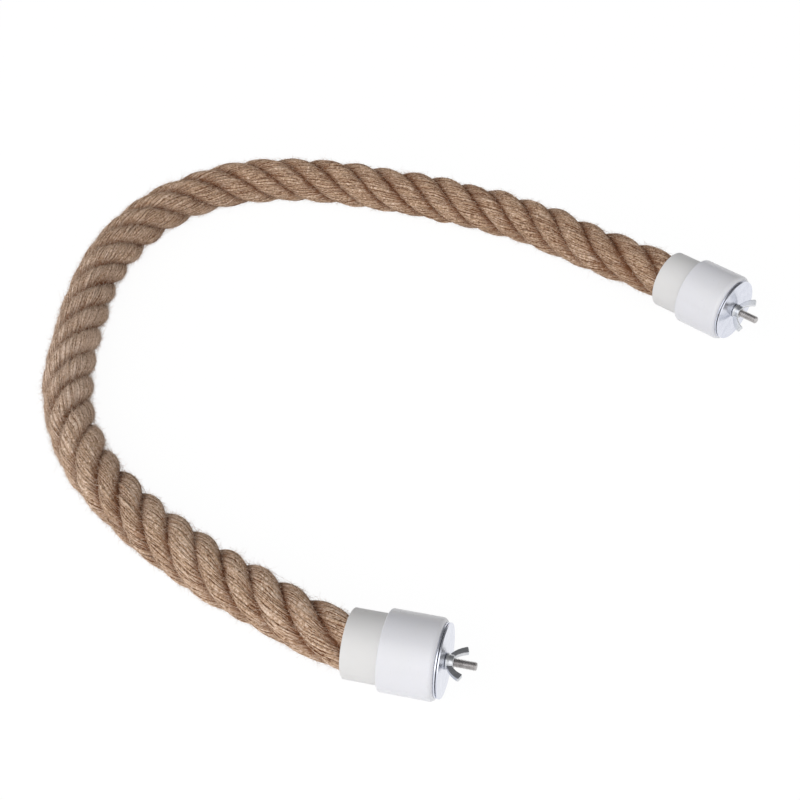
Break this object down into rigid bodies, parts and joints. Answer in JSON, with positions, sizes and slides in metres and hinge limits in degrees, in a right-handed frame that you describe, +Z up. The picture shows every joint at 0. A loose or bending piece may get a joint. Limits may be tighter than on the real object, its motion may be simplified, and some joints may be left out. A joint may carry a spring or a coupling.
{
  "type": "bird perch",
  "caption": "Jute rope perch lying in a wide curve, each end glued in a collar and cap, with a bolt, large washers and a wing nut that grip cage bars.",
  "frame": {"origin": "on the table, midway between the two end clamps", "axes": "+Z up from the table, +Y from the near clamp towards the far clamp's side, +X to the right, away from the rope's wide curve"},
  "size_m": [0.4885, 0.5231, 0.0465],
  "materials": {
    "jute": "matte",
    "tape": "matte",
    "glue": "satin",
    "ivory_plastic": "satin",
    "white_plastic": "gloss",
    "zinc": "polished"
  },
  "bodies": {
    "root": {"rope": "jute", "near_rope_tape": "tape", "near_glue_plug": "glue", "near_collar": "ivory_plastic", "near_end_cap": "white_plastic", "near_bolt": "zinc", "near_head_washer": "zinc", "far_rope_tape": "tape", "far_glue_plug": "glue", "far_collar": "ivory_plastic", "far_end_cap": "white_plastic", "far_bolt": "zinc", "far_head_washer": "zinc"},
    "near_inner_washer": {"near_inner_cage_washer": "zinc"},
    "near_outer_washer": {"near_outer_cage_washer": "zinc"},
    "near_nut": {"near_wing_nut": "zinc"},
    "far_inner_washer": {"far_inner_cage_washer": "zinc"},
    "far_outer_washer": {"far_outer_cage_washer": "zinc"},
    "far_nut": {"far_wing_nut": "zinc"}
  },
  "joints": [
    {"name": "near_inner_washer_spin", "type": "hinge", "parent": "root", "child": "near_inner_washer", "pos_m": [-0.113, -0.15, 0.02325], "axis": [0.9558, -0.2941, 0], "continuous": true},
    {"name": "near_outer_washer_slide", "type": "slide", "parent": "root", "child": "near_outer_washer", "axis": [0.9558, -0.2941, 0], "range_m": [-0.0004, 0.012]},
    {"name": "near_wing_nut_turn", "type": "hinge", "parent": "near_outer_washer", "child": "near_nut", "pos_m": [-0.113, -0.15, 0.02325], "axis": [0.9558, -0.2941, 0], "range_deg": [-180, 5400]},
    {"name": "far_inner_washer_spin", "type": "hinge", "parent": "root", "child": "far_inner_washer", "pos_m": [0.11, 0.146, 0.02325], "axis": [0.7071, -0.7071, 0], "continuous": true},
    {"name": "far_outer_washer_slide", "type": "slide", "parent": "root", "child": "far_outer_washer", "axis": [0.7071, -0.7071, 0], "range_m": [-0.0004, 0.012]},
    {"name": "far_wing_nut_turn", "type": "hinge", "parent": "far_outer_washer", "child": "far_nut", "pos_m": [0.11, 0.146, 0.02325], "axis": [0.7071, -0.7071, 0], "range_deg": [-180, 5400]}
  ],
  "couplings": [
    {"joint": "near_outer_washer_slide", "follows": "near_wing_nut_turn", "m_per_rad": 0.00012732},
    {"joint": "far_outer_washer_slide", "follows": "far_wing_nut_turn", "m_per_rad": 0.00012732}
  ]
}
